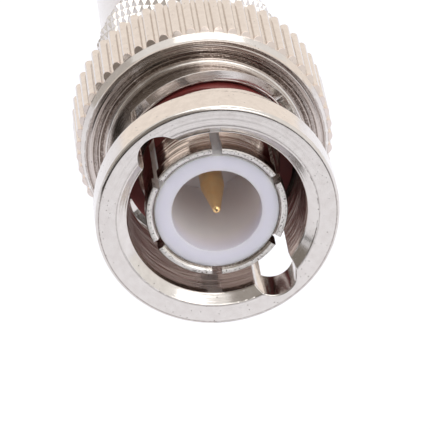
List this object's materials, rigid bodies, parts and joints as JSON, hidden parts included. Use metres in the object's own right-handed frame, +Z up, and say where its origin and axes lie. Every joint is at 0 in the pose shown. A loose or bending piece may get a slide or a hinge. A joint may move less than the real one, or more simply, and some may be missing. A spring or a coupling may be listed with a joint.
{
  "type": "coaxial bayonet plug",
  "caption": "Bayonet coaxial plug from a test lead: sprung turning nut with cam slots over a slotted contact sleeve, insulator and centre pin, with a screwed cable shell behind.",
  "frame": {"origin": "on the plug's axis, in the plane where the rim of the mating socket seats on the face gasket", "axes": "-Y out of the mating face along the axis, +Y towards the cable entry, +Z up, +X to the right seen from the mating face"},
  "size_m": [0.0144, 0.033, 0.0144],
  "materials": {
    "nickel": "bright nickel plate over turned brass",
    "contact_plate": "bright nickel plate over spring bronze",
    "gold": "gold plate, polished",
    "white_insulator": "bluish white fluoropolymer, smooth",
    "red_silicone": "dark red silicone rubber, satin",
    "black_rubber": "black rubber, matte",
    "spring_steel": "spring steel, bright",
    "brass_washer": "plain turned brass"
  },
  "bodies": {
    "plug": {"plug_body": "nickel", "outer_contact": "contact_plate", "front_insulator": "white_insulator", "centre_pin": "gold", "face_gasket": "red_silicone", "wave_washer": "spring_steel", "slip_washer": "brass_washer", "retaining_ring": "spring_steel", "rear_insulator": "white_insulator", "shell_seal": "black_rubber", "braid_clamp": "nickel", "cable_gasket": "black_rubber", "gland_washer": "brass_washer", "back_shell": "nickel"},
    "thrust_ring": {"thrust_washer": "brass_washer"},
    "nut": {"coupling_nut": "nickel"}
  },
  "joints": [
    {"name": "nut_travel", "type": "slide", "parent": "plug", "child": "thrust_ring", "axis": [0, -1, 0], "range_m": [0, 0.0007], "stiffness_N_per_m": 2000, "deforming": ["wave_washer"]},
    {"name": "nut_turn", "type": "hinge", "parent": "thrust_ring", "child": "nut", "pos_m": [0, 0, 0], "axis": [0, 1, 0], "continuous": true}
  ]
}
